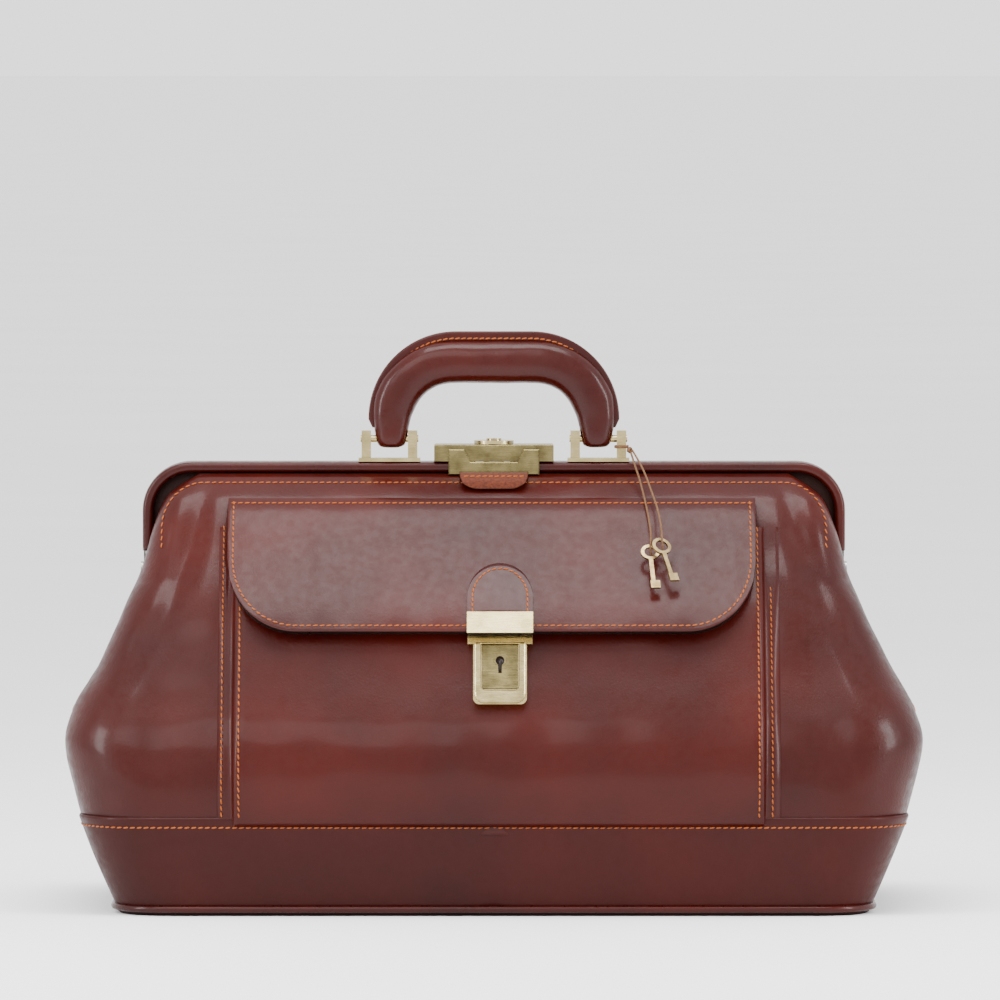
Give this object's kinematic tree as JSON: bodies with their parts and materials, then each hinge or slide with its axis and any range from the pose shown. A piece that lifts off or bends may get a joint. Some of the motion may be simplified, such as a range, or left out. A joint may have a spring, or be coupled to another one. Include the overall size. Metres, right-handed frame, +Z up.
{
  "type": "doctor bag",
  "caption": "Structured leather doctor bag with a hinged steel mouth frame, top turn lock, padded handle and a flapped front pocket with a press lock.",
  "frame": {"origin": "centre of the sole, on the surface that the bag stands on", "axes": "+X to the bag's right as seen from the front, +Y towards the back (the pocket faces -Y), +Z up"},
  "size_m": [0.419, 0.1973, 0.281],
  "materials": {
    "leather_body": "glossy red-brown pebble-grain cowhide",
    "leather_band": "smooth red-brown cowhide, satin",
    "leather_trim": "polished red-brown trim with dark painted edges",
    "leather_suede": "rubbed tan-red flesh side",
    "sole_leather": "dark brown, matt",
    "lining_fabric": "plain twill cotton lining, tan",
    "board": "pressed fibre board",
    "steel": "bare spring steel",
    "brass_bright": "brushed antique brass",
    "brass_dark": "dark patinated antique brass",
    "key_brass": "dull antique brass",
    "thread": "waxed orange-tan sewing thread",
    "twine": "waxed brown twine"
  },
  "bodies": {
    "bag_body": {"sole": "sole_leather", "base_board": "board", "lower_piping": "leather_trim", "band_left": "leather_band", "band_right": "leather_band", "front_panel": "leather_body", "back_panel": "leather_body", "side_panel_left": "leather_body", "side_panel_right": "leather_body", "gusset_left": "leather_body", "gusset_right": "leather_body", "lining": "lining_fabric", "pocket_panel": "leather_body", "pocket_gusset": "leather_body", "pocket_mouth": "leather_body", "lock_body": "brass_bright", "lock_top_bar": "brass_bright", "lock_backing": "steel", "hinge_pins": "steel"},
    "front_frame": {"front_frame_bar": "steel", "front_frame_cover": "leather_trim", "front_wall_top": "leather_body", "top_lock_case": "brass_dark", "top_lock_plate": "brass_dark", "pull_tab": "leather_suede", "bracket_left": "brass_bright", "bracket_right": "brass_bright", "handle_pins": "brass_bright", "key_cord_wrap": "twine"},
    "back_frame": {"back_frame_bar": "steel", "back_frame_cover": "leather_trim", "back_wall_top": "leather_body", "striker": "brass_bright"},
    "handle": {"handle_core": "steel", "handle_cover": "leather_trim", "handle_flange": "leather_trim"},
    "flap_root": {"flap_strip": "leather_trim"},
    "flap": {"flap": "leather_body", "lock_patch": "leather_trim", "flap_lock_bar": "brass_bright"},
    "turn_knob": {"turn_disc": "brass_bright"},
    "bolt": {"lock_bolt": "steel"},
    "release": {"release_plate": "brass_dark"},
    "key_core": {"key_core": "brass_dark"},
    "key_hanger": {"key_knot": "twine", "key_cord": "twine"},
    "keys": {"key_front": "key_brass", "key_rear": "key_brass"}
  },
  "joints": [
    {"name": "front_open", "type": "hinge", "parent": "bag_body", "child": "front_frame", "pos_m": [0, 0, 0.165], "axis": [1, 0, 0], "range_deg": [0, 32], "deforming": ["gusset_left", "gusset_right", "pocket_mouth"]},
    {"name": "back_open", "type": "hinge", "parent": "bag_body", "child": "back_frame", "pos_m": [0, 0, 0.165], "axis": [-1, 0, 0], "range_deg": [0, 40]},
    {"name": "handle_swing", "type": "hinge", "parent": "front_frame", "child": "handle", "pos_m": [0, -0.005, 0.229], "axis": [-1, 0, 0], "range_deg": [-80, 80]},
    {"name": "flap_follow", "type": "hinge", "parent": "front_frame", "child": "flap_root", "pos_m": [0, -0.03, 0.2002], "axis": [-1, 0, 0], "range_deg": [0, 49]},
    {"name": "flap_lift", "type": "hinge", "parent": "flap_root", "child": "flap", "pos_m": [0, -0.03, 0.2002], "axis": [-1, 0, 0], "range_deg": [0, 65]},
    {"name": "key_follow", "type": "hinge", "parent": "front_frame", "child": "key_hanger", "pos_m": [0.0668, -0.0126, 0.2236], "axis": [-1, 0, 0], "range_deg": [0, 44]},
    {"name": "key_lift", "type": "hinge", "parent": "key_hanger", "child": "keys", "pos_m": [0, -0.03, 0.2002], "axis": [-1, 0, 0], "range_deg": [0, 71], "deforming": ["key_cord"]},
    {"name": "disc_turn", "type": "hinge", "parent": "front_frame", "child": "turn_knob", "pos_m": [0, -0.0005, 0.2264], "axis": [0, 0, -1], "range_deg": [0, 90]},
    {"name": "bolt_slide", "type": "slide", "parent": "front_frame", "child": "bolt", "axis": [-1, 0, 0], "range_m": [0, 0.0096]},
    {"name": "plate_press", "type": "slide", "parent": "bag_body", "child": "release", "axis": [0, 1, 0], "range_m": [0, 0.0015], "stiffness_N_per_m": 400},
    {"name": "key_core_turn", "type": "hinge", "parent": "release", "child": "key_core", "pos_m": [0.003, -0.08827, 0.125], "axis": [0, -0.8944, 0.4472], "range_deg": [0, 90]}
  ],
  "couplings": [
    {"joint": "flap_follow", "follows": "front_open", "ratio": 1.5},
    {"joint": "key_follow", "follows": "front_open", "ratio": 1.35},
    {"joint": "key_lift", "follows": "flap_lift", "ratio": 1.08},
    {"joint": "bolt_slide", "follows": "disc_turn", "m_per_rad": 0.006048}
  ]
}
